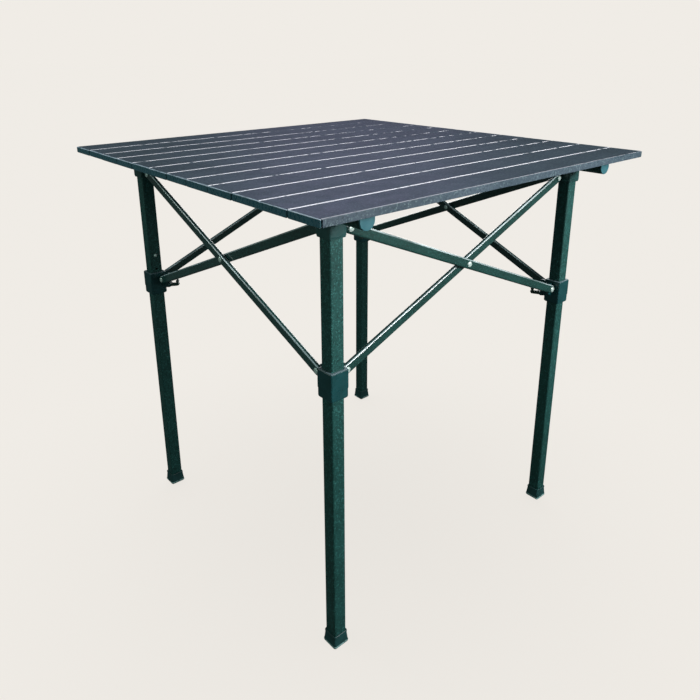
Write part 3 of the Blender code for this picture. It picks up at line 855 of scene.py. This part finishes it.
def build_bars(materials):
    """The crossed pair on each side of the frame, and the rivet where they cross."""
    for index, side in enumerate(SIDES):
        turn = Matrix.Rotation(math.radians(90 * index), 4, "Z")
        outer_low, outer_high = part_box(f"{side}_outer_bar")
        rivet_low, rivet_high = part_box(f"{side}_cross_rivet")
        middle = (rivet_low + rivet_high) / 2
        span = max(outer_high.x - outer_low.x, outer_high.y - outer_low.y) - BAR_TALL
        drop = outer_high.z - outer_low.z - BAR_TALL
        offset = (BAR_PLANES["inner"] - BAR_PLANES["outer"]) / 2
        place = Matrix.Translation(middle) @ turn
        for layer, sign in (("outer", 1), ("inner", -1)):
            name = f"{side}_{layer}_bar"
            shape = bar_shape(span, drop, sign)
            where = place @ Matrix.Translation((0, -sign * offset, 0))
            add_piece(f"{name}_strip", shape, where, materials["bar"], name, (name,))
        holder = f"{side}_outer_bar" if index < 2 else f"{side}_inner_bar"
        node = f"{side}_cross_rivet"
        rivet = cross_rivet_shape(offset)
        add_piece(f"{node}_pin", rivet, place, materials["zinc"], holder, (node,))


# ---------------------------------------------------------------- stage and light

PALE = (0.871, 0.839, 0.791)
FLOOR_HALF = 30.0
FLOOR_DROP = 0.5 * MM
FLOOR_SHADOW = 0.10
FLOOR_BOUNCE = (0.045, 0.055, 0.055)
WORLD_GLOW = 0.06
WORLD_TINT = (0.90, 1.0, 1.08)
OVERHEAD_SPREAD = math.radians(70)
OVERHEAD_TILT = (math.radians(-8), math.radians(6), 0)


def add_floor():
    """Pale floor with a soft shadow, mostly of one tone to meet the backdrop, and dim to the table."""
    shape = bmesh.new()
    corners = ((-1, -1), (1, -1), (1, 1), (-1, 1))
    shape.faces.new([shape.verts.new((x * FLOOR_HALF, y * FLOOR_HALF, -FLOOR_DROP)) for x, y in corners])
    data = bpy.data.meshes.new("floor")
    shape.to_mesh(data)
    shape.free()
    floor = bpy.data.objects.new("floor", data)
    bpy.context.scene.collection.objects.link(floor)
    material = bpy.data.materials.new("floor_paint")
    material.use_nodes = True
    tree = material.node_tree
    tree.nodes.clear()
    even = tree.nodes.new("ShaderNodeEmission")
    even.inputs["Color"].default_value = (*PALE, 1.0)
    matt = tree.nodes.new("ShaderNodeBsdfDiffuse")
    matt.inputs["Color"].default_value = (*PALE, 1.0)
    shade = tree.nodes.new("ShaderNodeMixShader")
    shade.inputs["Fac"].default_value = FLOOR_SHADOW
    tree.links.new(even.outputs["Emission"], shade.inputs[1])
    tree.links.new(matt.outputs["BSDF"], shade.inputs[2])
    dim = tree.nodes.new("ShaderNodeEmission")
    dim.inputs["Color"].default_value = (*FLOOR_BOUNCE, 1.0)
    ray = tree.nodes.new("ShaderNodeLightPath")
    final = tree.nodes.new("ShaderNodeMixShader")
    tree.links.new(ray.outputs["Is Camera Ray"], final.inputs["Fac"])
    tree.links.new(dim.outputs["Emission"], final.inputs[1])
    tree.links.new(shade.outputs["Shader"], final.inputs[2])
    out = tree.nodes.new("ShaderNodeOutputMaterial")
    tree.links.new(final.outputs["Shader"], out.inputs["Surface"])
    data.materials.append(material)
    return floor


def add_backdrop():
    """World that looks pale behind the table and lights it dimly."""
    world = bpy.data.worlds.new("backdrop")
    bpy.context.scene.world = world
    world.use_nodes = True
    tree = world.node_tree
    tree.nodes.clear()
    seen = tree.nodes.new("ShaderNodeBackground")
    seen.inputs["Color"].default_value = (*PALE, 1.0)
    glow = tree.nodes.new("ShaderNodeBackground")
    glow.inputs["Color"].default_value = (*WORLD_TINT, 1.0)
    glow.inputs["Strength"].default_value = WORLD_GLOW
    ray = tree.nodes.new("ShaderNodeLightPath")
    mix = tree.nodes.new("ShaderNodeMixShader")
    tree.links.new(ray.outputs["Is Camera Ray"], mix.inputs["Fac"])
    tree.links.new(glow.outputs["Background"], mix.inputs[1])
    tree.links.new(seen.outputs["Background"], mix.inputs[2])
    out = tree.nodes.new("ShaderNodeOutputWorld")
    tree.links.new(mix.outputs["Shader"], out.inputs["Surface"])


# Softboxes: place, aim, side in metres, watts, colour, spread in degrees, and the group each one lights
SOFTBOXES = {
    "key": ((0.60, -2.05, 1.30), (-0.05, 0.0, 0.80), 0.9, 13.5, (1.0, 0.98, 1.0), 75, "near"),
    "glint": ((1.35, -1.75, 1.25), (0.1, -0.2, 0.55), 0.5, 6.0, (1.0, 1.0, 1.0), 180, "frame"),
    "sheen": ((-1.1, 1.1, 2.0), (-0.3, 0.0, 0.65), 1.2, 20.0, (0.80, 0.92, 1.0), 180, "caps_and_bars"),
    "fill": ((0.60, -2.05, 1.30), (0.0, 0.0, 0.50), 0.9, 12.0, (1.0, 1.0, 1.0), 180, "rear"),
    "rim": ((-1.75, 1.15, 1.35), (-0.1, 0.0, 0.55), 0.6, 7.0, (0.86, 1.0, 0.92), 180, "table"),
    "side": ((-2.3, -0.7, 0.9), (-0.1, 0.0, 0.50), 1.2, 5.0, (0.80, 1.0, 0.92), 180, "table"),
    "above": ((-0.75, -0.35, 2.60), (-0.1, -0.1, 0.70), 1.4, 15.0, (0.98, 1.0, 1.02), 180, "slats"),
    "panel": ((2.4, 2.7, 2.80), (-0.2, -0.2, 0.70), 1.7, 6.8, (1.0, 0.80, 1.45), 180, "slats"),
    "back": ((2.0, 1.8, 0.95), (0.0, 0.0, 0.45), 1.8, 48.0, (0.94, 1.0, 1.0), 180, "frame"),
    "behind": ((1.9, 1.7, 0.36), (0.0, 0.0, 0.60), 0.5, 10.0, (0.94, 1.0, 1.0), 180, "slats"),
    "under": ((0.0, 0.0, 0.03), (0.0, 0.0, 0.65), 0.5, 3.0, (0.94, 1.0, 1.0), 180, "slats"),
}


def lit_groups(floor):
    """The groups of objects that lights are limited to; every object still casts its shadow."""
    pieces = [thing for thing in bpy.context.scene.objects if thing.type == "MESH" and thing is not floor]
    members = {
        "floor": [floor],
        "table": pieces,
        "slats": [thing for thing in pieces if thing.name.startswith("slat_")],
        "frame": [thing for thing in pieces if not thing.name.startswith("slat_")],
        "rear": [thing for thing in pieces if "rear" in thing.name],
        "near": [thing for thing in pieces if "rear" not in thing.name],
        "caps_and_bars": [thing for thing in pieces if "end_cap" in thing.name or "bar" in thing.name],
    }
    groups = {}
    for name, things in members.items():
        groups[name] = bpy.data.collections.new(f"{name}_lit")
        for thing in things:
            groups[name].objects.link(thing)
    return groups


def add_softbox(name, place, target, size, power, colour, spread, group):
    """Square area light aimed at a point, which lights one group and isn't seen itself."""
    data = bpy.data.lights.new(name, "AREA")
    data.shape = "SQUARE"
    data.size = size
    data.energy = power
    data.color = colour
    data.spread = math.radians(spread)
    light = bpy.data.objects.new(name, data)
    light.location = place
    light.rotation_euler = (Vector(target) - Vector(place)).to_track_quat("-Z", "Y").to_euler()
    light.visible_camera = False
    light.light_linking.receiver_collection = group
    bpy.context.scene.collection.objects.link(light)


def add_lights(floor):
    """Softboxes around the table, and an overhead sun that only draws its shadow on the floor."""
    groups = lit_groups(floor)
    for name, (*setting, group) in SOFTBOXES.items():
        add_softbox(name, *setting, groups[group])
    data = bpy.data.lights.new("overhead", "SUN")
    data.energy = math.pi * (1 - WORLD_GLOW)
    data.angle = OVERHEAD_SPREAD
    sun = bpy.data.objects.new("overhead", data)
    sun.rotation_euler = OVERHEAD_TILT
    sun.light_linking.receiver_collection = groups["floor"]
    bpy.context.scene.collection.objects.link(sun)


# ---------------------------------------------------------------- build

bpy.context.scene.view_settings.view_transform = "Standard"
add_camera()
materials = make_materials()
build_slats(materials)
build_rails(materials)
build_corners(materials)
build_bars(materials)
floor = add_floor()
add_backdrop()
add_lights(floor)
